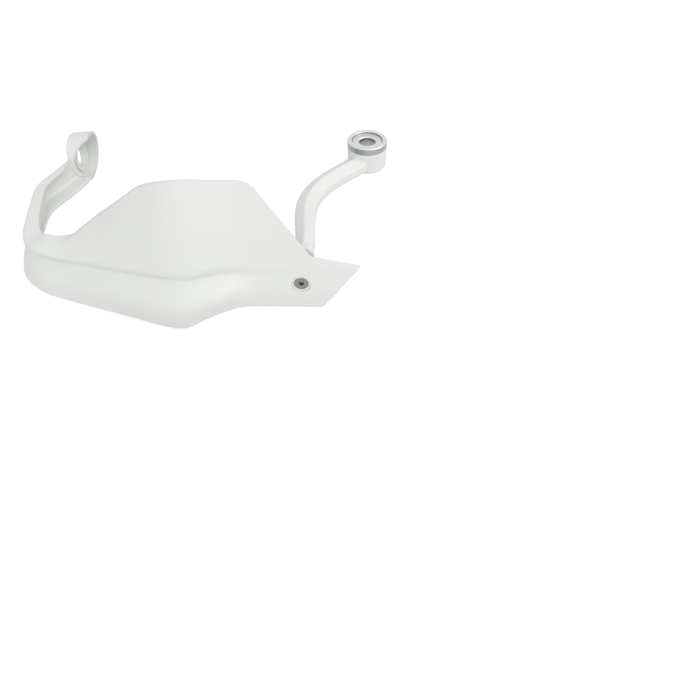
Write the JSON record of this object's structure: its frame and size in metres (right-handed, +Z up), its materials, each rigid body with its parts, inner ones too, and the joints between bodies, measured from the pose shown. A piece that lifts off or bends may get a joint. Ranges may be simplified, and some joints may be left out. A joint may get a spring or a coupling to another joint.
{
  "type": "motorcycle hand guard",
  "caption": "Moulded hand guard that runs from a bar-end eye round the front of the grip to a flat wing, held there by a ridged bracket with an eye for the mirror stem.",
  "frame": {"origin": "axis of the bar-end eye, at the inner face of the arm's wall", "axes": "+X inboard along the handlebar, -Y forward, +Z up"},
  "size_m": [0.323, 0.2161, 0.1324],
  "materials": {
    "guard_plastic": "satin moulded",
    "bracket_plastic": "satin moulded",
    "screw_steel": "dull zinc",
    "clip_steel": "dull zinc",
    "turned_metal": "fine turned"
  },
  "bodies": {
    "root": {"guard_shell": "guard_plastic", "mounting_bracket": "bracket_plastic", "countersunk_screw": "screw_steel", "clip_nut": "clip_steel", "spacer_ring": "turned_metal", "seat_collar": "turned_metal"}
  },
  "joints": []
}
